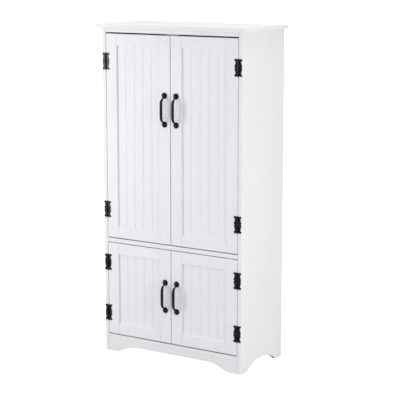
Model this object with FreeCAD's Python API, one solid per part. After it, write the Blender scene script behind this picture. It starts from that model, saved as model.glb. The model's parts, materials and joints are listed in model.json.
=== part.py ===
import FreeCAD, Part
import math
import os

# Four-door pantry cabinet: a panel carcass with two tall doors over two short ones.
# Millimetres, +Z up, +X to the right of someone facing the doors, doors at the -Y side.
# The parts are drawn with y = 0 on the front edges of the carcass. save() then moves them
# so that the origin is the bottom centre of the box that bounds the whole cabinet.

# ---- driving dimensions: carcass ----
WIDTH = 600.0             # outside the side panels
DEPTH = 290.0             # front edge to back edge of the side panels
HEIGHT = 1230.0
BOARD = 15.0              # thickness of every carcass board, door frame and shelf
OVERHANG = 16.0           # top panel past the sides and the front
DIVIDER_TOP = 436.0       # board between the upper and the lower cupboard
BOTTOM_TOP = 65.0
FRONT_RAIL_DEPTH = 60.0
REAR_RAIL_HEIGHT = 60.0
BACK_THICKNESS = 3.0
BACK_SETBACK = 10.0       # back panels sit this far in from the rear edges
BACK_GROOVE = 6.0         # depth of the groove that holds them
BACK_LAP = 5.5            # how far they reach into it
BACK_PLAY = 0.1           # groove to panel, on each face
BACK_GAP = 1.0            # between the upper and the lower back panel
SHELF_GAP = 1.0           # shelf end to side panel
SHELF_FRONT = 20.0
SHELF_BACK = 275.0
UPPER_SHELF_TOPS = (695.7, 955.4)
LOWER_SHELF_TOP = 250.5

# ---- driving dimensions: arches at the floor ----
SIDE_FOOT = 42.0          # length of a side panel's front and back foot
SIDE_ARCH_RISE = 34.0
SKIRT_FOOT = 40.0
SKIRT_FLAT_HALF = 155.0   # half the level stretch of the skirt's arch
SKIRT_RISE = 27.5
SKIRT_ARC_RADIUS = 126.0

# ---- driving dimensions: doors ----
SIDE_GAP = 2.0            # door to side panel
MIDDLE_GAP = 3.0          # between the two doors of a pair
LOWER_DOOR_GAPS = (4.5, 2.9)                 # below and above the doors
UPPER_DOOR_GAPS = (3.6, 5.2)
STILE = 46.0
RAIL = 42.0
PANEL_RECESS = 6.0        # front of the frame to front of the panel
PANEL_THICKNESS = 6.0
TONGUE = 8.0              # reach of the panel and the rails into the frame's groove
PLANKS = 5                # boards that the panel's V-grooves suggest
V_WIDTH = 2.6
V_DEPTH = 1.2
SLIP = 0.05               # play on each side of a tongue, dowel or screw
HOLE_SPARE = 0.5          # a hole is deeper than the screw, bolt or pin in it
GROOVE_SPARE = 0.3        # a groove or dowel hole is deeper than what it holds
CLEARANCE = 0.2           # radial play of a screw in the piece that it clamps
PAST = 1.0                # a cutter runs this far past the faces that it opens

# ---- driving dimensions: hinges ----
UPPER_HINGE_Z = (545.0, 1094.3)
LOWER_HINGE_Z = (149.2, 343.0)
AXIS_OUT = 3.2            # hinge axis in front of the doors
LEAF = 1.6
BARREL_RADIUS = 3.0
BARREL_HALF = 29.5
LEAF_ROOM = 9.0           # what is cleared beside the barrel runs this far past its ends
MIDDLE_KNUCKLE_HALF = 10.3
KNUCKLE_GAP = 0.3
PIN_RADIUS = 1.25
BORE_RADIUS = 1.30
FINIAL_RADIUS = 2.5
FINIAL_HEIGHT = 2.0
LEAF_ROOT = 1.0           # leaf starts here beside its own knuckles
LEAF_CLEAR = 3.4          # and here beside the other leaf's
LOBE_CENTRE = (11.3, 26.5)
LOBE_RADIUS = 4.2
LEAF_TIP = 15.4
LEAF_END = 29.6
LEAF_NECK = (10.8, 20.8)
LEAF_SWEEP = ((11.6, 15.0), (13.3, 9.4), (LEAF_TIP, 4.4))    # from the neck to the tip
LEAF_EASE = 0.35
NOTCH_RADIUS = 2.8
MIDDLE_SCREW_U = 8.3
HINGE_SCREW_HEAD = (3.0, 1.2)                # radius, height
FINIAL_ROUNDING = 0.75    # of its height

# ---- driving dimensions: handles ----
HANDLE_UPPER_Z = 929.7
HANDLE_LOWER_Z = 244.8
HANDLE_PITCH = 103.5      # screw to screw
ROSE_RADIUS = 10.9
ROSE_RIM = 2.4
ROSE_HEIGHT = 7.5
BAR_OUT = 22.5             # the grip's centre line, out from the door
BAR_RADIUS = 5.2
BAR_STATIONS = (           # height from the bar's middle, out from the door, radius
    (0.0, BAR_OUT, BAR_RADIUS), (13.0, BAR_OUT, BAR_RADIUS), (22.0, 22.3, 5.1), (31.0, 20.9, 4.8),
    (37.3, 17.3, 4.1), (42.0, 11.8, 3.1), (46.5, 5.0, 2.7), (47.6, 1.0, 2.9))
HANDLE_OFFSET = 0.5        # handle outward from the middle of its stile
HANDLE_SCREW_RADIUS = 2.0
HANDLE_SCREW_REACH = 5.0   # into the rose
HANDLE_SCREW_HEAD = (4.0, 2.6)               # radius, height

# ---- driving dimensions: fittings ----
CAM_RADIUS = 7.4
CAM_HEIGHT = 11.5
CAM_SETBACK = 24.0        # cam's axis to the joint between two boards
CAM_HOLE_RADIUS = 7.5
CAM_HOLE_DEPTH = 12.0
BOLT_THREAD = 10.0
BOLT_RADIUS = 3.0
BOLT_HEAD_RADIUS = 3.3
BOLT_NECK_RADIUS = 1.8
BOLT_SHANK = 15.0
DOWEL_RADIUS = 4.0
DOWEL_HALF = 12.5
SUPPORT_PIN_RADIUS = 2.45
SUPPORT_HOLE_RADIUS = 2.5
SUPPORT_HOLE_DEPTH = 9.0
SUPPORT_PLATE = 1.5
SUPPORT_SIZE = 12.0
SUPPORT_DROP = 7.0        # pin below the shelf
SUPPORT_Y = (60.0, 235.0)
HOLE_PITCH = 32.0
WOOD_SCREW_RADIUS = 1.5
WOOD_SCREW_LENGTH = 12.0
SCREW_POINT = 3.0
SCREW_SLOT_HALF = 0.3
HEAD_ROUNDING = 0.7       # of a screw head's height
SLOT_REACH = 0.6          # of a screw head's radius
CROSS_SLOT = (4.2, 0.8, 1.8)                 # half length, half width, depth in a cam's face
CAM_NECK_ROOM = 2.2
CAM_HEAD_ROOM = 0.3
BOLT_HEAD_ENDS = (-0.6, 2.8)
CAM_Y = (45.0, 230.0)      # in the divider and the bottom panel
DOWEL_Y = (100.0, 175.0)
SIDE_CAM_Y = (75.0, 215.0)                   # in the top ends of the side panels
SIDE_DOWEL_Y = (110.0, 180.0)
FRONT_RAIL_CAM_Y = 20.0
FRONT_RAIL_DOWEL_Y = 46.0
REAR_RAIL_CAM_Z = 1175.0
REAR_RAIL_DOWEL_Z = 1200.0
SKIRT_CAM_Z = 32.0
SKIRT_DOWEL_Z = 12.0
SKIRT_DOWEL_X = 140.0
BACK_SCREW_HIGH_Z = 1185.0
BACK_SCREW_INSET = 3.0     # rows on the divider, in from its faces
BACK_SCREW_HEAD = (3.2, 1.6)
BACK_SCREW_X = (-240.0, -120.0, 0.0, 120.0, 240.0)
CATCH_HALF = 24.0
CATCH_EAR = 9.0
CATCH_EAR_THICKNESS = 2.5
CATCH_HEIGHT = 18.0
CATCH_DEPTH = 23.0
CATCH_EAR_INSET = 5.0
CATCH_SCREW_HEAD = (2.8, 1.4)
CATCH_AIR = 0.6           # closed door's strike plate to the housing
MAGNET_AIR = 0.1          # and to the magnets
MAGNET_X = 13.0           # middle of each magnet from the middle of the catch
MAGNET = (16.0, 18.0, 10.0)
MAGNET_LIFT = 3.0          # above the catch's underside
STRIKE = (18.0, 1.2, 12.0)
STRIKE_INSET = 2.0        # strike plate below the door's top edge
STRIKE_SINK = (2.0, 3.2)  # radii of its countersink
STRIKE_SCREW_REACH = 11.0
STRIKE_SCREW_PLAY = 0.1

# ---- driving dimensions: rounded edges and open joints ----
BOARD_EASE = 1.0
TOP_EASE = 1.2
DOOR_EASE = 1.0
SEAM = 0.3                 # open joint between a door's rails and stiles, and over the skirt
END_JOINT = (0.7, 3.0)     # open joint at the front of a board's ends: width, depth

# ---- places that follow from them ----
INNER = WIDTH / 2 - BOARD                        # inner faces of the side panels
TOP_BOTTOM = HEIGHT - BOARD                      # underside of the top panel
RAIL_BOTTOM = TOP_BOTTOM - BOARD
DIVIDER_BOTTOM = DIVIDER_TOP - BOARD
BOTTOM_BOTTOM = BOTTOM_TOP - BOARD
BACK_OUT = DEPTH - BACK_SETBACK
BACK_IN = BACK_OUT - BACK_THICKNESS
DOOR_INNER_X = MIDDLE_GAP / 2
DOOR_OUTER_X = INNER - SIDE_GAP
UPPER_DOOR_Z = (DIVIDER_TOP + UPPER_DOOR_GAPS[0], RAIL_BOTTOM - UPPER_DOOR_GAPS[1])
LOWER_DOOR_Z = (BOTTOM_TOP + LOWER_DOOR_GAPS[0], DIVIDER_BOTTOM - LOWER_DOOR_GAPS[1])
AXIS_X = (DOOR_OUTER_X + INNER) / 2
HANDLE_X = DOOR_INNER_X + STILE / 2 + HANDLE_OFFSET
STRIKE_OUT = BOARD + STRIKE[1]
CATCH_FRONT = STRIKE_OUT + CATCH_AIR
MAGNET_FRONT = STRIKE_OUT + MAGNET_AIR
HANDLE_REACH = BAR_OUT + BAR_RADIUS              # the bar's front, out from the door
ORIGIN_SHIFT = (HANDLE_REACH - DEPTH) / 2        # y = 0 above lands here

X_AXIS = FreeCAD.Vector(1, 0, 0)
Y_AXIS = FreeCAD.Vector(0, 1, 0)
Z_AXIS = FreeCAD.Vector(0, 0, 1)
FRONT = (("Y", 0),)                              # the plane of the carcass's front edges
IN_PLANE = 1e-4                                  # an edge this near a plane lies in it


# ---- helpers ----
def vec(x, y, z):
    return FreeCAD.Vector(x, y, z)


def block(x0, x1, y0, y1, z0, z1):
    return Part.makeBox(x1 - x0, y1 - y0, z1 - z0, vec(x0, y0, z0))


def rod(radius, start, end):
    along = end - start
    return Part.makeCylinder(radius, along.Length, start, along)


def fused(shapes):
    return shapes[0].multiFuse(shapes[1:]).removeSplitter()


def mirrored(shape):
    """The left-hand copy of a right-hand piece."""
    return shape.mirror(vec(0, 0, 0), X_AXIS)


def both_sides(shapes):
    return shapes + [mirrored(shape) for shape in shapes]


def moved(shape, offset):
    copy = shape.copy()
    copy.translate(offset)
    return copy


def in_plane(edge, axis, level):
    """True for an edge that lies in the plane across an axis, "X", "Y" or "Z", at a level."""
    box = edge.BoundBox
    ends = (getattr(box, axis + "Min"), getattr(box, axis + "Max"))
    return all(abs(end - level) < IN_PLANE for end in ends)


def rim(shape, axis, level):
    """The round edge of a turned shape at a level along its axis."""
    return next(edge for edge in shape.Edges if edge.isClosed() and in_plane(edge, axis, level))


def eased(shape, radius, planes):
    """Rounds the edges of a board that lie in any of the planes, each given as (axis, level)."""
    edges = [edge for edge in shape.Edges if any(in_plane(edge, axis, level) for axis, level in planes)]
    return shape.makeFillet(radius, edges)


def prism(points, start, direction):
    """A closed outline of straight edges, pushed out along a direction."""
    corners = [start + point for point in points]
    return Part.Face(Part.makePolygon(corners + corners[:1])).extrude(direction)


def save(name, shapes):
    """Writes one sub-part: a single solid, or a group of separate solids."""
    solids = [moved(shape, vec(0, ORIGIN_SHIFT, 0)) for shape in shapes]
    whole = solids[0] if len(solids) == 1 else Part.makeCompound(solids)
    if not whole.isValid():
        raise ValueError(name + " is not a valid shape")
    whole.exportStep("parts/" + name + ".step")


# ---- fittings that join boards ----
def oriented(shape, at, along, mouth):
    """Turns a fitting drawn with its bolt along +X and its mouth at -Z, and puts it in place."""
    up = mouth * -1
    side = up.cross(along)
    copy = shape.copy()
    copy.Placement = FreeCAD.Placement(FreeCAD.Matrix(
        along.x, side.x, up.x, at.x,
        along.y, side.y, up.y, at.y,
        along.z, side.z, up.z, at.z,
        0, 0, 0, 1))
    return copy


def cam_lock():
    """A round cam with a cross recess in its face and a slot for the bolt's head."""
    bottom = -BOARD / 2
    body = Part.makeCylinder(CAM_RADIUS, CAM_HEIGHT, vec(0, 0, bottom))
    slot = BOLT_HEAD_RADIUS + CAM_HEAD_ROOM
    head_room = block(-slot, slot, -slot, slot, -slot, slot)
    neck_room = block(0, CAM_RADIUS + PAST, -CAM_NECK_ROOM, CAM_NECK_ROOM, -slot, slot)
    length, width, depth = CROSS_SLOT
    cross = [block(-length, length, -width, width, bottom, bottom + depth),
             block(-width, width, -length, length, bottom, bottom + depth)]
    return body.cut([head_room, neck_room] + cross)


def cam_bolt():
    """A turned bolt: head in the cam, thin neck, shank, and thread in the far board."""
    head_start, head_end = BOLT_HEAD_ENDS
    neck_end = CAM_SETBACK - BOLT_SHANK
    pieces = [rod(BOLT_HEAD_RADIUS, vec(head_start, 0, 0), vec(head_end, 0, 0)),
              rod(BOLT_NECK_RADIUS, vec(head_end, 0, 0), vec(neck_end, 0, 0)),
              rod(BOLT_RADIUS, vec(neck_end, 0, 0), vec(CAM_SETBACK + BOLT_THREAD, 0, 0))]
    return fused(pieces)


def cam_cutters():
    """Room for the cam and the bolt, in the board that holds the cam."""
    pocket = Part.makeCylinder(CAM_HOLE_RADIUS, CAM_HOLE_DEPTH, vec(0, 0, -BOARD / 2))
    return [pocket, rod(BOLT_HEAD_RADIUS + SLIP, vec(0, 0, 0), vec(CAM_SETBACK, 0, 0))]


def thread_cutter():
    """Room for the bolt's thread, in the board across the joint."""
    return rod(BOLT_RADIUS + SLIP, vec(CAM_SETBACK, 0, 0), vec(CAM_SETBACK + BOLT_THREAD + HOLE_SPARE, 0, 0))


def dowel():
    return rod(DOWEL_RADIUS, vec(-DOWEL_HALF, 0, 0), vec(DOWEL_HALF, 0, 0))


def dowel_cutter():
    reach = DOWEL_HALF + GROOVE_SPARE
    return rod(DOWEL_RADIUS + SLIP, vec(-reach, 0, 0), vec(reach, 0, 0))


def right_cam_places():
    """(board that holds the cam, board across the joint, cam centre, bolt direction, mouth direction)."""
    cam_x = INNER - CAM_SETBACK
    down = Z_AXIS * -1
    middle = BOARD / 2
    places = []
    for board, top in (("divider_shelf", DIVIDER_TOP), ("bottom_panel", BOTTOM_TOP)):
        for y in CAM_Y:
            places.append((board, "side", vec(cam_x, y, top - middle), X_AXIS, down))
    places.append(("front_top_rail", "side", vec(cam_x, FRONT_RAIL_CAM_Y, TOP_BOTTOM - middle), X_AXIS, down))
    places.append(("rear_top_rail", "side", vec(cam_x, BACK_IN - middle, REAR_RAIL_CAM_Z), X_AXIS,
                   Y_AXIS * -1))
    places.append(("skirt_board", "side", vec(cam_x, middle, SKIRT_CAM_Z), X_AXIS, Y_AXIS))
    for y in SIDE_CAM_Y:
        places.append(("side", "top_panel", vec(INNER + middle, y, TOP_BOTTOM - CAM_SETBACK),
                       Z_AXIS, X_AXIS * -1))
    return places


def right_dowel_places():
    """(the two boards that it joins, middle of the dowel, direction)."""
    middle = BOARD / 2
    places = []
    for board, top in (("divider_shelf", DIVIDER_TOP), ("bottom_panel", BOTTOM_TOP)):
        for y in DOWEL_Y:
            places.append((board, "side", vec(INNER, y, top - middle), X_AXIS))
    places.append(("front_top_rail", "side", vec(INNER, FRONT_RAIL_DOWEL_Y, TOP_BOTTOM - middle), X_AXIS))
    places.append(("rear_top_rail", "side", vec(INNER, BACK_IN - middle, REAR_RAIL_DOWEL_Z), X_AXIS))
    places.append(("skirt_board", "side", vec(INNER, middle, SKIRT_DOWEL_Z), X_AXIS))
    places.append(("skirt_board", "bottom_panel", vec(SKIRT_DOWEL_X, middle, BOTTOM_BOTTOM), Z_AXIS))
    for y in SIDE_DOWEL_Y:
        places.append(("side", "top_panel", vec(INNER + middle, y, TOP_BOTTOM), Z_AXIS))
    return places


def crossed_head(radius, height, base):
    """A domed screw head with a cross slot, its underside at y = base and its crown towards -Y."""
    crown = base - height
    head = rod(radius, vec(0, base, 0), vec(0, crown, 0))
    head = head.makeFillet(height * HEAD_ROUNDING, [rim(head, "Y", crown)])
    reach, half = radius * SLOT_REACH, SCREW_SLOT_HALF
    slots = [block(-reach, reach, crown, crown + height / 2, -half, half),
             block(-half, half, crown, crown + height / 2, -reach, reach)]
    return head.cut(slots)


def wood_screw(head_radius, head_height):
    """A domed wood screw drawn with its head's underside at y = 0 and its point towards +Y."""
    straight = WOOD_SCREW_LENGTH - SCREW_POINT
    shank = rod(WOOD_SCREW_RADIUS, vec(0, 0, 0), vec(0, straight, 0))
    point = Part.makeCone(WOOD_SCREW_RADIUS, SCREW_SLOT_HALF, SCREW_POINT, vec(0, straight, 0), Y_AXIS)
    return fused([crossed_head(head_radius, head_height, 0), shank, point])


def screw_cutter(start, direction):
    return rod(WOOD_SCREW_RADIUS + SLIP, start, start + direction * (WOOD_SCREW_LENGTH + HOLE_SPARE))


# ---- hinges ----
def hinge_screw_places():
    u, v = LOBE_CENTRE
    return ((u, v), (MIDDLE_SCREW_U, 0.0), (u, -v))


def leaf_outline():
    """Half of the decorative outline, from the barrel round the upper lobe to the notch."""
    neck = vec(LEAF_NECK[0], 0, LEAF_NECK[1])
    tip = vec(LEAF_SWEEP[-1][0], 0, LEAF_SWEEP[-1][1])
    sweep = Part.BSplineCurve()
    sweep.interpolate([neck] + [vec(u, 0, v) for u, v in LEAF_SWEEP])
    corners = [vec(0, 0, 0), vec(0, 0, LEAF_END), vec(neck.x, 0, LEAF_END), neck]
    edges = [Part.makeLine(a, b) for a, b in zip(corners, corners[1:])]
    edges.append(sweep.toShape())
    edges.append(Part.makeLine(tip, vec(LEAF_TIP, 0, 0)))
    edges.append(Part.makeLine(vec(LEAF_TIP, 0, 0), vec(0, 0, 0)))
    return Part.Face(Part.Wire(edges))


def leaf_plate():
    """The leaf's flat plate with its lobes, notch and rounded outline, front face at y = 0."""
    upper = leaf_outline().extrude(vec(0, LEAF, 0))
    lower = upper.mirror(vec(0, 0, 0), Z_AXIS)
    u, v = LOBE_CENTRE
    lobes = [rod(LOBE_RADIUS, vec(u, 0, z), vec(u, LEAF, z)) for z in (v, -v)]
    notch = rod(NOTCH_RADIUS, vec(LEAF_TIP, -PAST, 0), vec(LEAF_TIP, LEAF + PAST, 0))
    plate = fused([upper, lower] + lobes).cut(notch)
    outline = [edge for edge in plate.Edges if in_plane(edge, "Y", 0) and not in_plane(edge, "X", 0)]
    return plate.makeFillet(LEAF_EASE, outline)


def hinge_leaf(outer_knuckles):
    """One leaf, drawn with the hinge axis on Z, the leaf towards +X and its back at y = AXIS_OUT."""
    back = AXIS_OUT
    end = BARREL_HALF + PAST
    reach = BARREL_HALF + LEAF_ROOM
    plate = moved(leaf_plate(), vec(0, back - LEAF, 0))
    ends = (MIDDLE_KNUCKLE_HALF + KNUCKLE_GAP, BARREL_HALF)
    if outer_knuckles:
        knuckles = [(ends[0], ends[1]), (-ends[1], -ends[0])]
        clear = [(-ends[0], ends[0])]
    else:
        knuckles = [(-MIDDLE_KNUCKLE_HALF, MIDDLE_KNUCKLE_HALF)]
        clear = [(MIDDLE_KNUCKLE_HALF, end), (-end, -MIDDLE_KNUCKLE_HALF)]
    room = [block(-PAST, LEAF_ROOT, 0, back + PAST, -reach, reach)]
    room += [block(-PAST, LEAF_CLEAR, 0, back + PAST, low, high) for low, high in clear]
    barrels = [rod(BARREL_RADIUS, vec(0, 0, low), vec(0, 0, high)) for low, high in knuckles]
    leaf = fused([plate.cut(room)] + barrels)
    holes = [rod(WOOD_SCREW_RADIUS + CLEARANCE, vec(x, 0, z), vec(x, back + PAST, z))
             for x, z in hinge_screw_places()]
    bore = rod(BORE_RADIUS, vec(0, 0, -end), vec(0, 0, end))
    return leaf.cut(holes + [bore])


def hinge_pin():
    """The hinge's pin with a domed finial at each end."""
    crown = BARREL_HALF + FINIAL_HEIGHT
    finial = rod(FINIAL_RADIUS, vec(0, 0, BARREL_HALF), vec(0, 0, crown))
    finial = finial.makeFillet(FINIAL_HEIGHT * FINIAL_ROUNDING, [rim(finial, "Z", crown)])
    pin = rod(PIN_RADIUS, vec(0, 0, -BARREL_HALF), vec(0, 0, BARREL_HALF))
    return fused([pin, finial, finial.mirror(vec(0, 0, 0), Z_AXIS)])


def right_hinge_axes(heights):
    return [vec(AXIS_X, -AXIS_OUT, z) for z in heights]


def right_hinge_screws(heights, towards):
    """Screws of the leaves on the carcass side (towards = 1) or the door side (-1)."""
    screw = wood_screw(*HINGE_SCREW_HEAD)
    return [moved(screw, vec(AXIS_X + towards * u, -LEAF, z + v))
            for z in heights for u, v in hinge_screw_places()]


def right_hinge_screw_cutters(heights, towards):
    return [screw_cutter(vec(AXIS_X + towards * u, -LEAF, z + v), Y_AXIS)
            for z in heights for u, v in hinge_screw_places()]


# ---- handles ----
def rose():
    """The domed disc at each end of a handle, drawn on the door's face around the Y axis."""
    corner = vec(ROSE_RADIUS, -ROSE_RIM, 0)
    crown = vec(0, -ROSE_HEIGHT, 0)
    dome = ROSE_HEIGHT - ROSE_RIM
    sphere = (ROSE_RADIUS ** 2 + dome ** 2) / (2 * dome)
    half = ROSE_RADIUS / 2
    shoulder = vec(half, sphere - ROSE_HEIGHT - math.sqrt(sphere ** 2 - half ** 2), 0)
    edges = [Part.makeLine(vec(0, 0, 0), vec(ROSE_RADIUS, 0, 0)),
             Part.makeLine(vec(ROSE_RADIUS, 0, 0), corner),
             Part.Arc(corner, shoulder, crown).toShape(),
             Part.makeLine(crown, vec(0, 0, 0))]
    return Part.Face(Part.Wire(edges)).revolve(vec(0, 0, 0), Y_AXIS, 360)


def bar():
    """The arched grip, thick in the middle and thin at its necks, lofted through round sections."""
    lower = [(-height, out, radius) for height, out, radius in reversed(BAR_STATIONS)]
    stations = lower[:-1] + list(BAR_STATIONS)
    centre_line = Part.BSplineCurve()
    centre_line.interpolate([vec(0, -out, height) for height, out, radius in stations])
    wires = []
    for height, out, radius in stations:
        at = vec(0, -out, height)
        along = centre_line.tangent(centre_line.parameter(at))[0]
        wires.append(Part.Wire(Part.makeCircle(radius, at, along)))
    return Part.makeLoft(wires, True, False)


def handle_screw_heights():
    return (HANDLE_PITCH / 2, -HANDLE_PITCH / 2)


def handle():
    """One arched pull with its two roses and the threaded holes for its screws."""
    radius, reach = HANDLE_SCREW_RADIUS + SLIP, HANDLE_SCREW_REACH + HOLE_SPARE
    roses = [moved(rose(), vec(0, 0, z)) for z in handle_screw_heights()]
    holes = [rod(radius, vec(0, 0, z), vec(0, -reach, z)) for z in handle_screw_heights()]
    return fused([bar()] + roses).cut(holes)


def handle_screw():
    """Machine screw through the door from inside, head on the door's back."""
    head = crossed_head(*HANDLE_SCREW_HEAD, 0)
    head.rotate(vec(0, 0, 0), Z_AXIS, 180)
    shank = rod(HANDLE_SCREW_RADIUS, vec(0, -HANDLE_SCREW_REACH, 0), vec(0, BOARD, 0))
    return fused([moved(head, vec(0, BOARD, 0)), shank])


# ---- doors ----
def right_door(z_low, z_high, hinge_heights, handle_z):
    """The pieces of one right-hand door, as {name: [solids]}."""
    groove_front = PANEL_RECESS - SLIP
    groove_back = PANEL_RECESS + PANEL_THICKNESS + SLIP
    groove = TONGUE + GROOVE_SPARE
    x_low = DOOR_INNER_X + STILE
    x_high = DOOR_OUTER_X - STILE
    rail_low = z_low + RAIL
    rail_high = z_high - RAIL
    top = z_high - STRIKE_INSET
    strike_z = top - STRIKE[2] / 2

    faces = (("Y", 0), ("Y", BOARD))
    handle_stile = eased(block(DOOR_INNER_X, x_low, 0, BOARD, z_low, z_high), DOOR_EASE, faces)
    handle_stile = handle_stile.cut(
        [block(x_low - groove, x_low, groove_front, groove_back, z_low, z_high)]
        + [rod(HANDLE_SCREW_RADIUS + CLEARANCE, vec(HANDLE_X, 0, z), vec(HANDLE_X, BOARD, z))
           for z in [handle_z + offset for offset in handle_screw_heights()]]
        + [screw_cutter(vec(MAGNET_X, BOARD, strike_z), Y_AXIS * -1)])
    hinge_stile = eased(block(x_high, DOOR_OUTER_X, 0, BOARD, z_low, z_high), DOOR_EASE, faces)
    hinge_stile = hinge_stile.cut(
        [block(x_high, x_high + groove, groove_front, groove_back, z_low, z_high)]
        + right_hinge_screw_cutters(hinge_heights, -1))

    tenon = block(x_low - TONGUE, x_high + TONGUE, PANEL_RECESS, PANEL_RECESS + PANEL_THICKNESS, 0, RAIL)
    rail = fused([eased(block(x_low + SEAM, x_high - SEAM, 0, BOARD, 0, RAIL), DOOR_EASE, faces), tenon])
    past = TONGUE + PAST
    lower_rail = rail.cut(block(x_low - past, x_high + past, groove_front, groove_back, RAIL - groove, RAIL))
    upper_rail = rail.cut(block(x_low - past, x_high + past, groove_front, groove_back, 0, groove))
    rails = [moved(lower_rail, vec(0, 0, z_low)), moved(upper_rail, vec(0, 0, rail_high))]

    panel = block(x_low - TONGUE, x_high + TONGUE, PANEL_RECESS, PANEL_RECESS + PANEL_THICKNESS,
                  rail_low - TONGUE, rail_high + TONGUE)
    plank = (x_high - x_low) / PLANKS
    v_points = [vec(-V_WIDTH / 2, 0, 0), vec(V_WIDTH / 2, 0, 0), vec(0, V_DEPTH, 0)]
    v_grooves = [prism(v_points, vec(x_low + plank * index, PANEL_RECESS, rail_low - TONGUE),
                       vec(0, 0, rail_high - rail_low + 2 * TONGUE)) for index in range(1, PLANKS)]

    strike_half = STRIKE[0] / 2
    strike = block(MAGNET_X - strike_half, MAGNET_X + strike_half, BOARD, STRIKE_OUT, top - STRIKE[2], top)
    screw_start = vec(MAGNET_X, BOARD, strike_z)
    narrow, wide = STRIKE_SINK
    sink = Part.makeCone(narrow, wide, STRIKE[1], screw_start, Y_AXIS)
    head = Part.makeCone(narrow - STRIKE_SCREW_PLAY, wide - STRIKE_SCREW_PLAY, STRIKE[1], screw_start, Y_AXIS)
    strike_screw = fused([head, rod(WOOD_SCREW_RADIUS, screw_start,
                                    screw_start - Y_AXIS * STRIKE_SCREW_REACH)])

    door_leaf = mirrored(hinge_leaf(outer_knuckles=False))
    return {
        "hinge_stile": [hinge_stile],
        "handle_stile": [handle_stile],
        "rails": rails,
        "beadboard_panel": [panel.cut(v_grooves)],
        "handle": [moved(handle(), vec(HANDLE_X, 0, handle_z))],
        "handle_screws": [moved(handle_screw(), vec(HANDLE_X, 0, handle_z + z))
                          for z in handle_screw_heights()],
        "strike_plate": [strike.cut(sink)],
        "hinge_leaves": [moved(door_leaf, axis) for axis in right_hinge_axes(hinge_heights)],
        "wood_screws": right_hinge_screws(hinge_heights, -1) + [strike_screw],
    }


# ---- carcass ----
def right_side_panel():
    """Side panel with its arched foot, the back panel's groove and the shelf holes."""
    panel = block(INNER, INNER + BOARD, 0, DEPTH, 0, TOP_BOTTOM)
    half = DEPTH / 2 - SIDE_FOOT
    radius = (half ** 2 + SIDE_ARCH_RISE ** 2) / (2 * SIDE_ARCH_RISE)
    centre_z = SIDE_ARCH_RISE - radius
    arch = rod(radius, vec(INNER - PAST, DEPTH / 2, centre_z), vec(WIDTH / 2 + PAST, DEPTH / 2, centre_z))
    groove = block(INNER, INNER + BACK_GROOVE, BACK_IN - BACK_PLAY, BACK_OUT + BACK_PLAY, 0, TOP_BOTTOM)
    panel = eased(panel.cut(arch), BOARD_EASE, (("X", WIDTH / 2), ("Y", 0), ("Y", DEPTH)))
    holes = [rod(SUPPORT_HOLE_RADIUS, vec(INNER, y, z), vec(INNER + SUPPORT_HOLE_DEPTH, y, z))
             for y in SUPPORT_Y for level in support_levels()
             for z in (level - HOLE_PITCH, level, level + HOLE_PITCH)]
    return panel.cut([groove] + holes)


def shelf_tops():
    return UPPER_SHELF_TOPS + (LOWER_SHELF_TOP,)


def support_levels():
    """Heights of the shelf-support holes that are in use."""
    return [top - BOARD - SUPPORT_DROP for top in shelf_tops()]


def end_joints(low, high):
    """What is cut from a front board so that its ends stand off the side panels at the very front."""
    width, depth = END_JOINT
    return both_sides([block(INNER - width, INNER, 0, depth, low, high)])


def skirt_board():
    """Skirt under the bottom panel: feet, sloping shoulders and a level arch between arcs."""
    foot_x = INNER - SKIRT_FOOT
    centre = vec(SKIRT_FLAT_HALF, 0, SKIRT_RISE - SKIRT_ARC_RADIUS)
    to_foot = vec(foot_x, 0, 0) - centre
    tangent = math.atan2(to_foot.z, to_foot.x) + math.acos(SKIRT_ARC_RADIUS / to_foot.Length)

    def on_arc(angle):
        return centre + vec(math.cos(angle), 0, math.sin(angle)) * SKIRT_ARC_RADIUS

    level = on_arc(math.pi / 2)
    half = [Part.makeLine(vec(foot_x, 0, 0), on_arc(tangent)),
            Part.Arc(on_arc(tangent), on_arc((tangent + math.pi / 2) / 2), level).toShape(),
            Part.makeLine(level, vec(0, 0, SKIRT_RISE)),
            Part.makeLine(vec(0, 0, SKIRT_RISE), vec(0, 0, 0)),
            Part.makeLine(vec(0, 0, 0), vec(foot_x, 0, 0))]
    opening = Part.Face(Part.Wire(half)).extrude(vec(0, BOARD, 0))
    board = block(-INNER, INNER, 0, BOARD, 0, BOTTOM_BOTTOM - SEAM).cut([opening, mirrored(opening)])
    return eased(board.cut(end_joints(0, BOTTOM_BOTTOM)), BOARD_EASE, FRONT)


def carcass_boards():
    """The boards before their joints are drilled, as {name: solid}."""
    back_edge = INNER + BACK_LAP
    divider_middle = DIVIDER_TOP - BOARD / 2
    overhang_x = WIDTH / 2 + OVERHANG

    def front_board(depth, low, high):
        board = block(-INNER, INNER, 0, depth, low, high).cut(end_joints(low, high))
        return eased(board, BOARD_EASE, FRONT)

    return {
        "side": right_side_panel(),
        "top_panel": eased(block(-overhang_x, overhang_x, -OVERHANG, DEPTH, TOP_BOTTOM, HEIGHT), TOP_EASE,
                           (("Z", TOP_BOTTOM), ("Z", HEIGHT))),
        "front_top_rail": front_board(FRONT_RAIL_DEPTH, RAIL_BOTTOM, TOP_BOTTOM),
        "rear_top_rail": block(-INNER, INNER, BACK_IN - BOARD, BACK_IN,
                               TOP_BOTTOM - REAR_RAIL_HEIGHT, TOP_BOTTOM),
        "divider_shelf": front_board(BACK_IN, DIVIDER_BOTTOM, DIVIDER_TOP),
        "bottom_panel": front_board(BACK_IN, BOTTOM_BOTTOM, BOTTOM_TOP),
        "skirt_board": skirt_board(),
        "upper_back_panel": block(-back_edge, back_edge, BACK_IN, BACK_OUT,
                                  divider_middle + BACK_GAP / 2, TOP_BOTTOM),
        "lower_back_panel": block(-back_edge, back_edge, BACK_IN, BACK_OUT,
                                  BOTTOM_BOTTOM, divider_middle - BACK_GAP / 2),
    }


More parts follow.
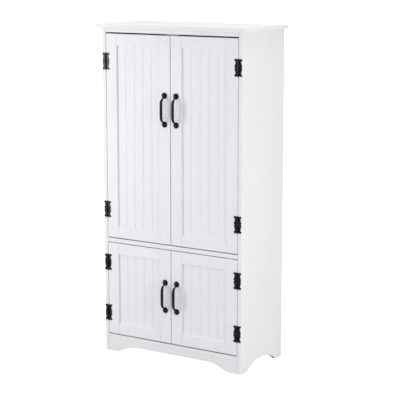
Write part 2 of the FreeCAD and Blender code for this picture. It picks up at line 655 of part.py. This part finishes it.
def back_screw_rows():
    """(back panel, board that it is screwed to, height of the row)."""
    return (("upper_back_panel", "rear_top_rail", BACK_SCREW_HIGH_Z),
            ("upper_back_panel", "divider_shelf", DIVIDER_TOP - BACK_SCREW_INSET),
            ("lower_back_panel", "divider_shelf", DIVIDER_BOTTOM + BACK_SCREW_INSET),
            ("lower_back_panel", "bottom_panel", BOTTOM_BOTTOM + BOARD / 2))


def shelf_supports():
    """L-shaped shelf supports of the right side panel: pin, upright plate and ledge."""
    supports = []
    for top in shelf_tops():
        under = top - BOARD
        for y in SUPPORT_Y:
            half = SUPPORT_SIZE / 2
            upright = block(INNER - SUPPORT_PLATE, INNER, y - half, y + half, under - SUPPORT_SIZE, under)
            ledge = block(INNER - SUPPORT_SIZE, INNER, y - half, y + half, under - SUPPORT_PLATE, under)
            axis_z = under - SUPPORT_DROP
            pin_end = INNER + SUPPORT_HOLE_DEPTH - HOLE_SPARE
            pin = rod(SUPPORT_PIN_RADIUS, vec(INNER, y, axis_z), vec(pin_end, y, axis_z))
            supports.append(fused([upright, ledge, pin]))
    return supports


def catch(board_bottom):
    """Double magnetic catch under a board: (housing, magnets, screws, cutters for the board)."""
    low = board_bottom - CATCH_HEIGHT
    back = CATCH_FRONT + CATCH_DEPTH
    ear = CATCH_HALF + CATCH_EAR
    housing = fused([block(-CATCH_HALF, CATCH_HALF, CATCH_FRONT, back, low, board_bottom),
                     block(-ear, ear, CATCH_FRONT + CATCH_EAR_INSET, back - CATCH_EAR_INSET,
                           board_bottom - CATCH_EAR_THICKNESS, board_bottom)])
    half = MAGNET[0] / 2
    base = low + MAGNET_LIFT
    magnet_back = MAGNET_FRONT + MAGNET[1]
    magnet = block(MAGNET_X - half, MAGNET_X + half, MAGNET_FRONT, magnet_back, base, base + MAGNET[2])
    pocket = block(MAGNET_X - half - SLIP, MAGNET_X + half + SLIP, CATCH_FRONT, magnet_back + SLIP,
                   base - SLIP, base + MAGNET[2] + SLIP)
    screw_x = CATCH_HALF + CATCH_EAR / 2
    screw_y = (CATCH_FRONT + back) / 2
    start = vec(screw_x, screw_y, board_bottom - CATCH_EAR_THICKNESS)
    upright = wood_screw(*CATCH_SCREW_HEAD)
    upright.rotate(vec(0, 0, 0), X_AXIS, 90)
    screws = both_sides([moved(upright, start)])
    ear_holes = both_sides([rod(WOOD_SCREW_RADIUS + CLEARANCE, start, start + Z_AXIS * CATCH_EAR_THICKNESS)])
    cutters = both_sides([screw_cutter(start, Z_AXIS)])
    housing = housing.cut(both_sides([pocket]) + ear_holes)
    return housing, both_sides([magnet]), screws, cutters


def build_carcass():
    """Drills and saves every fixed part of the cabinet."""
    boards = carcass_boards()
    cuts = {name: [] for name in boards}

    def drill(name, cutters):
        cuts[name] += cutters if name == "side" else both_sides(cutters)

    cams, bolts, dowels = [], [], []
    for holder, across, at, along, mouth in right_cam_places():
        cams.append(oriented(cam_lock(), at, along, mouth))
        bolts.append(oriented(cam_bolt(), at, along, mouth))
        drill(holder, [oriented(cutter, at, along, mouth) for cutter in cam_cutters()])
        drill(across, [oriented(thread_cutter(), at, along, mouth)])
    for first, second, at, along in right_dowel_places():
        mouth = Y_AXIS
        dowels.append(oriented(dowel(), at, along, mouth))
        for name in (first, second):
            drill(name, [oriented(dowel_cutter(), at, along, mouth)])

    back_screws = []
    back_screw = wood_screw(*BACK_SCREW_HEAD)
    back_screw.rotate(vec(0, 0, 0), Z_AXIS, 180)
    for back_panel, board, z in back_screw_rows():
        for x in BACK_SCREW_X:
            start = vec(x, BACK_OUT, z)
            back_screws.append(moved(back_screw, start))
            cuts[back_panel].append(screw_cutter(start, Y_AXIS * -1))
            cuts[board].append(screw_cutter(start, Y_AXIS * -1))

    housings, magnets, catch_screws = [], [], []
    for board, bottom in (("front_top_rail", RAIL_BOTTOM), ("divider_shelf", DIVIDER_BOTTOM)):
        housing, pair, screws, cutters = catch(bottom)
        housings.append(housing)
        magnets.append(pair)
        catch_screws += screws
        cuts[board] += cutters

    heights = UPPER_HINGE_Z + LOWER_HINGE_Z
    cuts["side"] += right_hinge_screw_cutters(heights, 1)
    finished = {name: board.cut(cuts[name]) for name, board in boards.items()}
    side = finished.pop("side")
    save("right_side_panel", [side])
    save("left_side_panel", [mirrored(side)])
    for name, board in finished.items():
        save(name, [board])

    for name, top in zip(("upper_shelf_low", "upper_shelf_high", "lower_shelf"), shelf_tops()):
        reach = INNER - SHELF_GAP
        shelf = block(-reach, reach, SHELF_FRONT, SHELF_BACK, top - BOARD, top)
        save(name, [eased(shelf, BOARD_EASE, (("Y", SHELF_FRONT),))])
    save("shelf_supports", both_sides(shelf_supports()))
    save("cam_locks", both_sides(cams))
    save("cam_bolts", both_sides(bolts))
    save("wooden_dowels", both_sides(dowels))
    save("back_panel_screws", back_screws)
    save("catch_housings", housings)
    save("catch_magnets", [magnet for pair in magnets for magnet in pair])
    save("catch_screws", catch_screws)
    leaf = hinge_leaf(outer_knuckles=True)
    axes = right_hinge_axes(heights)
    save("frame_hinge_leaves", both_sides([moved(leaf, axis) for axis in axes]))
    save("hinge_pins", both_sides([moved(hinge_pin(), axis) for axis in axes]))
    save("frame_hinge_screws", both_sides(right_hinge_screws(heights, 1)))


def build_doors():
    """Saves the four doors: the right-hand ones as drawn, the left-hand ones mirrored."""
    for level, reach, hinge_heights, handle_z in (
            ("upper", UPPER_DOOR_Z, UPPER_HINGE_Z, HANDLE_UPPER_Z),
            ("lower", LOWER_DOOR_Z, LOWER_HINGE_Z, HANDLE_LOWER_Z)):
        door = right_door(reach[0], reach[1], hinge_heights, handle_z)
        for name, solids in door.items():
            save(level + "_right_" + name, solids)
            save(level + "_left_" + name, [mirrored(solid) for solid in solids])


os.makedirs("parts", exist_ok=True)
build_carcass()
build_doors()
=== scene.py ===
import json
import math

import bpy
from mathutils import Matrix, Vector


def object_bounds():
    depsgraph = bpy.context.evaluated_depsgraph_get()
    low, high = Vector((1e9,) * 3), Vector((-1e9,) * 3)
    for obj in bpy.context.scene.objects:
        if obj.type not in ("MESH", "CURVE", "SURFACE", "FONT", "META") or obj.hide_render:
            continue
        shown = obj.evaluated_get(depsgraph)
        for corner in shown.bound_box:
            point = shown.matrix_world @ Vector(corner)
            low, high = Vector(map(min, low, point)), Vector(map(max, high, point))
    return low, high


# Looks for the four-door pantry cabinet: painted boards, black hardware, studio light and camera.
# Every size is in metres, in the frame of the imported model, unless its comment says otherwise.

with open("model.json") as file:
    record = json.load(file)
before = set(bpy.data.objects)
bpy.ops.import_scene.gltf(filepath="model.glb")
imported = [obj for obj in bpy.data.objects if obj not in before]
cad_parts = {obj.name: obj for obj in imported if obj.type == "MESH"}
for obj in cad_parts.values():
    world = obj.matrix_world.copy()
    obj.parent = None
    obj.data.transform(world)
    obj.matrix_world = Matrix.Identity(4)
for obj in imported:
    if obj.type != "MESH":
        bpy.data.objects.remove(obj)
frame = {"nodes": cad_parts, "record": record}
cad_low, cad_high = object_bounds()
centre = (Vector(cad_low) + Vector(cad_high)) / 2

# ---- camera ----
CAMERA_AIM = centre + Vector((0.034, 0.0105, -0.027))
CAMERA_AZIMUTH = math.radians(33.15)     # to the right of straight in front
CAMERA_ELEVATION = math.radians(10.135)
CAMERA_DISTANCE = 5.03
CAMERA_LENS = 122.96                     # millimetres
SENSOR_WIDTH = 36.0                      # millimetres
CAMERA_REACH = 100.0                     # nothing further off is drawn

# ---- light ----
AMBIENT = 0.58                           # strength of the even light from all round
AMBIENT_TINT = (0.985, 0.99, 1.0)
BACKDROP = 1.05                          # strength of what the camera sees behind the floor
SOFTBOXES = {                            # place, aim, width, height, power in watts
    "key": ((-0.95, -2.75, 1.50), (0.0, -0.13, 0.8), 0.6, 0.6, 4.0),
    "left": ((-1.70, -1.75, 1.10), (0.0, -0.13, 0.85), 0.8, 1.0, 10.9),
    "low_left": ((-1.70, -1.75, 0.60), (0.0, -0.13, 0.4), 0.8, 1.0, 11.1),
    "strip": ((1.30, -0.62, 0.75), (0.0, -0.13, 0.70), 0.15, 1.3, 4.2),
    "right": ((3.30, 0.10, 1.20), (0.0, 0.0, 0.75), 1.4, 1.6, 26.0),
    "overhead": ((0.20, 0.10, 3.40), (0.0, 0.0, 1.0), 2.0, 1.6, 36.0),
    "back": ((-0.30, 3.30, 0.80), (0.0, 0.15, 0.7), 0.8, 1.4, 12.0),
    "back_left": ((-3.10, 0.90, 1.00), (0.0, 0.0, 0.7), 1.2, 1.4, 12.0),
}
FLOOR_SIZE = 60.0

# ---- colours, linear ----
BOARD_WHITE = (0.835, 0.838, 0.850)
DOOR_WHITE = (0.835, 0.842, 0.868)
HARDBOARD_WHITE = (0.760, 0.758, 0.745)
PLASTIC_WHITE = (0.800, 0.800, 0.790)
BLACK = (0.0035, 0.0035, 0.0038)
ZINC = (0.60, 0.60, 0.585)
MAGNET_GREY = (0.10, 0.10, 0.105)
BEECH = (0.62, 0.43, 0.25)
FLOOR_WHITE = (0.52, 0.52, 0.52)
PURE_WHITE = (1.0, 1.0, 1.0)

# ---- textures ----
NOISE_SPAN = (0.3, 0.7)                  # nearly all of a noise texture's values lie between these
UNSTRETCHED = (1.0, 1.0, 1.0)
BOARD_GRAIN = (1.0, 1.0, 0.12)           # finish drawn out along the height of the boards
ZINC_SCRATCHES = (1.0, 1.0, 14.0)        # level scratches
BEECH_GRAIN = (8.0, 60.0, 60.0)          # grain along most of the dowels


def opaque(color):
    return (*color, 1.0)


# ---- node helpers ----
class Nodes:
    """A short way to add and join the nodes of one material."""

    def __init__(self, name):
        self.material = bpy.data.materials.new(name)
        self.material.use_nodes = True
        self.tree = self.material.node_tree
        self.shader = self.tree.nodes["Principled BSDF"]

    def add(self, kind):
        return self.tree.nodes.new(kind)

    def join(self, output, socket):
        self.tree.links.new(output, socket)

    def place(self, stretch=UNSTRETCHED):
        """The place on the object, stretched for a texture that runs in one direction."""
        node = self.add("ShaderNodeMapping")
        node.inputs["Scale"].default_value = stretch
        self.join(self.add("ShaderNodeTexCoord").outputs["Object"], node.inputs["Vector"])
        return node.outputs["Vector"]

    def noise(self, place, scale, detail, roughness=0.5):
        node = self.add("ShaderNodeTexNoise")
        node.inputs["Scale"].default_value = scale
        node.inputs["Detail"].default_value = detail
        node.inputs["Roughness"].default_value = roughness
        self.join(place, node.inputs["Vector"])
        return node.outputs["Fac"]

    def shades(self, noise, color, darkest, lightest):
        """The colour, varied by a noise between two factors."""
        node = self.add("ShaderNodeValToRGB")
        for stop, place, factor in zip(node.color_ramp.elements, NOISE_SPAN, (darkest, lightest)):
            stop.position = place
            stop.color = opaque(channel * factor for channel in color)
        self.join(noise, node.inputs["Fac"])
        return node.outputs["Color"]

    def between(self, noise, low, high):
        """A number that a noise varies between low and high."""
        node = self.add("ShaderNodeMapRange")
        for name, value in zip(("From Min", "From Max", "To Min", "To Max"), (*NOISE_SPAN, low, high)):
            node.inputs[name].default_value = value
        self.join(noise, node.inputs["Value"])
        return node.outputs["Result"]

    def bump(self, height, distance, strength=1.0, under=None):
        """The surface's relief, on top of the relief under it where there is one."""
        node = self.add("ShaderNodeBump")
        node.inputs["Distance"].default_value = distance
        node.inputs["Strength"].default_value = strength
        self.join(height, node.inputs["Height"])
        if under is not None:
            self.join(under, node.inputs["Normal"])
        return node.outputs["Normal"]

    def finish(self, color, roughness, normal, **fixed):
        """Joins the varied sockets and sets the uniform ones, which are named with underscores."""
        self.join(color, self.shader.inputs["Base Color"])
        self.join(roughness, self.shader.inputs["Roughness"])
        self.join(normal, self.shader.inputs["Normal"])
        for name, value in fixed.items():
            self.shader.inputs[name.replace("_", " ")].default_value = value
        return self.material


# ---- materials ----
def painted_board(name, color):
    """White finish on board: faint cloudiness, a fine surface texture and uneven gloss."""
    nodes = Nodes(name)
    plain = nodes.place()
    cloud = nodes.noise(plain, scale=5.0, detail=2.0)
    fine = nodes.noise(nodes.place(BOARD_GRAIN), scale=260.0, detail=4.0, roughness=0.6)
    peel = nodes.noise(plain, scale=900.0, detail=2.0)
    relief = nodes.bump(fine, distance=0.00008, strength=0.5)
    return nodes.finish(nodes.shades(cloud, color, darkest=0.985, lightest=1.012),
                        roughness=nodes.between(fine, low=0.36, high=0.46),
                        normal=nodes.bump(peel, distance=0.00004, strength=0.6, under=relief),
                        Specular_IOR_Level=0.45)


def hardboard():
    """Painted hardboard: matt, with its fibres just showing."""
    nodes = Nodes("white_hardboard")
    plain = nodes.place()
    cloud = nodes.noise(plain, scale=9.0, detail=4.0)
    fibre = nodes.noise(plain, scale=700.0, detail=4.0, roughness=0.7)
    return nodes.finish(nodes.shades(cloud, HARDBOARD_WHITE, darkest=0.97, lightest=1.02),
                        roughness=nodes.between(fibre, low=0.6, high=0.8),
                        normal=nodes.bump(fibre, distance=0.0001, strength=0.6),
                        Specular_IOR_Level=0.3)


def black_coat():
    """Semi-gloss black powder coat with the fine pebble such a coat has."""
    nodes = Nodes("black_metal")
    plain = nodes.place()
    pebble = nodes.noise(plain, scale=1500.0, detail=2.0)
    cloud = nodes.noise(plain, scale=60.0, detail=3.0)
    return nodes.finish(nodes.shades(cloud, BLACK, darkest=0.8, lightest=1.5),
                        roughness=nodes.between(cloud, low=0.16, high=0.23),
                        normal=nodes.bump(pebble, distance=0.00004, strength=0.4),
                        Specular_IOR_Level=0.22)


def zinc():
    """Zinc-plated steel: spangled, with fine scratches."""
    nodes = Nodes("zinc_steel")
    spangle = nodes.noise(nodes.place(), scale=220.0, detail=3.0)
    scratch = nodes.noise(nodes.place(ZINC_SCRATCHES), scale=300.0, detail=3.0)
    return nodes.finish(nodes.shades(spangle, ZINC, darkest=0.85, lightest=1.1),
                        roughness=nodes.between(spangle, low=0.28, high=0.45),
                        normal=nodes.bump(scratch, distance=0.00003, strength=0.5),
                        Metallic=1.0)


def beech():
    """Turned wood with darker streaks of grain."""
    nodes = Nodes("beech")
    grain = nodes.noise(nodes.place(BEECH_GRAIN), scale=9.0, detail=5.0, roughness=0.6)
    return nodes.finish(nodes.shades(grain, BEECH, darkest=0.72, lightest=1.1),
                        roughness=nodes.between(grain, low=0.55, high=0.75),
                        normal=nodes.bump(grain, distance=0.0002, strength=0.4))


def plastic():
    """Moulded white plastic with a fine grit."""
    nodes = Nodes("white_plastic")
    plain = nodes.place()
    cloud = nodes.noise(plain, scale=40.0, detail=2.0)
    grit = nodes.noise(plain, scale=1800.0, detail=2.0)
    return nodes.finish(nodes.shades(cloud, PLASTIC_WHITE, darkest=0.97, lightest=1.02),
                        roughness=nodes.between(grit, low=0.42, high=0.55),
                        normal=nodes.bump(grit, distance=0.00003, strength=0.5))


def magnet():
    """Dark pressed ferrite."""
    nodes = Nodes("magnet")
    grit = nodes.noise(nodes.place(), scale=900.0, detail=4.0, roughness=0.7)
    return nodes.finish(nodes.shades(grit, MAGNET_GREY, darkest=0.6, lightest=1.5),
                        roughness=nodes.between(grit, low=0.45, high=0.7),
                        normal=nodes.bump(grit, distance=0.0001, strength=0.6),
                        Metallic=0.6)


def paint_nodes():
    """Gives each CAD node the material of its slot in the record."""
    materials = {
        "white_board": painted_board("white_board", BOARD_WHITE),
        "white_door": painted_board("white_door", DOOR_WHITE),
        "white_hardboard": hardboard(),
        "black_metal": black_coat(),
        "zinc_steel": zinc(),
        "beech": beech(),
        "white_plastic": plastic(),
        "magnet": magnet(),
    }
    for part in frame["record"]["subparts"]:
        node = frame["nodes"][part["node"]]
        node.data.materials.clear()
        node.data.materials.append(materials[part["material_slot"]])


# ---- studio ----
def add_floor():
    """A plain floor that the camera sees as white."""
    bpy.ops.mesh.primitive_plane_add(size=FLOOR_SIZE, location=(0.0, 0.0, 0.0))
    floor = bpy.context.object
    floor.name = "studio_floor"
    nodes = Nodes("studio_white")
    position = nodes.add("ShaderNodeNewGeometry").outputs["Position"]
    cloud = nodes.noise(position, scale=2.0, detail=2.0)
    seen = nodes.add("ShaderNodeLightPath").outputs["Is Camera Ray"]
    nodes.join(seen, nodes.shader.inputs["Emission Strength"])
    nodes.finish(nodes.shades(cloud, FLOOR_WHITE, darkest=0.99, lightest=1.01),
                 roughness=nodes.between(cloud, low=0.9, high=0.95),
                 normal=nodes.bump(cloud, distance=0.0001),
                 Emission_Color=opaque(PURE_WHITE))
    floor.data.materials.append(nodes.material)


def add_world():
    """Even light from all round, and a backdrop that the camera sees as plain white."""
    world = bpy.data.worlds.new("studio")
    bpy.context.scene.world = world
    world.use_nodes = True
    tree = world.node_tree
    light = tree.nodes["Background"]
    light.inputs["Color"].default_value = opaque(AMBIENT_TINT)
    light.inputs["Strength"].default_value = AMBIENT
    backdrop = tree.nodes.new("ShaderNodeBackground")
    backdrop.inputs["Color"].default_value = opaque(PURE_WHITE)
    backdrop.inputs["Strength"].default_value = BACKDROP
    path = tree.nodes.new("ShaderNodeLightPath")
    mix = tree.nodes.new("ShaderNodeMixShader")
    tree.links.new(path.outputs["Is Camera Ray"], mix.inputs["Fac"])
    tree.links.new(light.outputs["Background"], mix.inputs[1])
    tree.links.new(backdrop.outputs["Background"], mix.inputs[2])
    tree.links.new(mix.outputs["Shader"], tree.nodes["World Output"].inputs["Surface"])


def turned_to(direction):
    """The rotation that points a light or a camera along a direction."""
    return direction.to_track_quat("-Z", "Y").to_euler()


def add_lights():
    """Softboxes that the camera doesn't see."""
    for name, (place, aim, width, height, power) in SOFTBOXES.items():
        data = bpy.data.lights.new(name, "AREA")
        data.shape = "RECTANGLE"
        data.size = width
        data.size_y = height
        data.energy = power
        light = bpy.data.objects.new(name, data)
        light.location = place
        light.rotation_euler = turned_to(Vector(aim) - Vector(place))
        light.visible_camera = False
        bpy.context.scene.collection.objects.link(light)


def add_camera():
    level = math.cos(CAMERA_ELEVATION) * CAMERA_DISTANCE
    offset = Vector((math.sin(CAMERA_AZIMUTH) * level, -math.cos(CAMERA_AZIMUTH) * level,
                     math.sin(CAMERA_ELEVATION) * CAMERA_DISTANCE))
    data = bpy.data.cameras.new("camera")
    data.lens = CAMERA_LENS
    data.sensor_width = SENSOR_WIDTH
    data.clip_end = CAMERA_REACH
    camera = bpy.data.objects.new("camera", data)
    camera.location = CAMERA_AIM + offset
    camera.rotation_euler = turned_to(-offset)
    bpy.context.scene.collection.objects.link(camera)
    bpy.context.scene.camera = camera


paint_nodes()
add_floor()
add_world()
add_lights()
add_camera()
bpy.context.scene.view_settings.view_transform = "Standard"
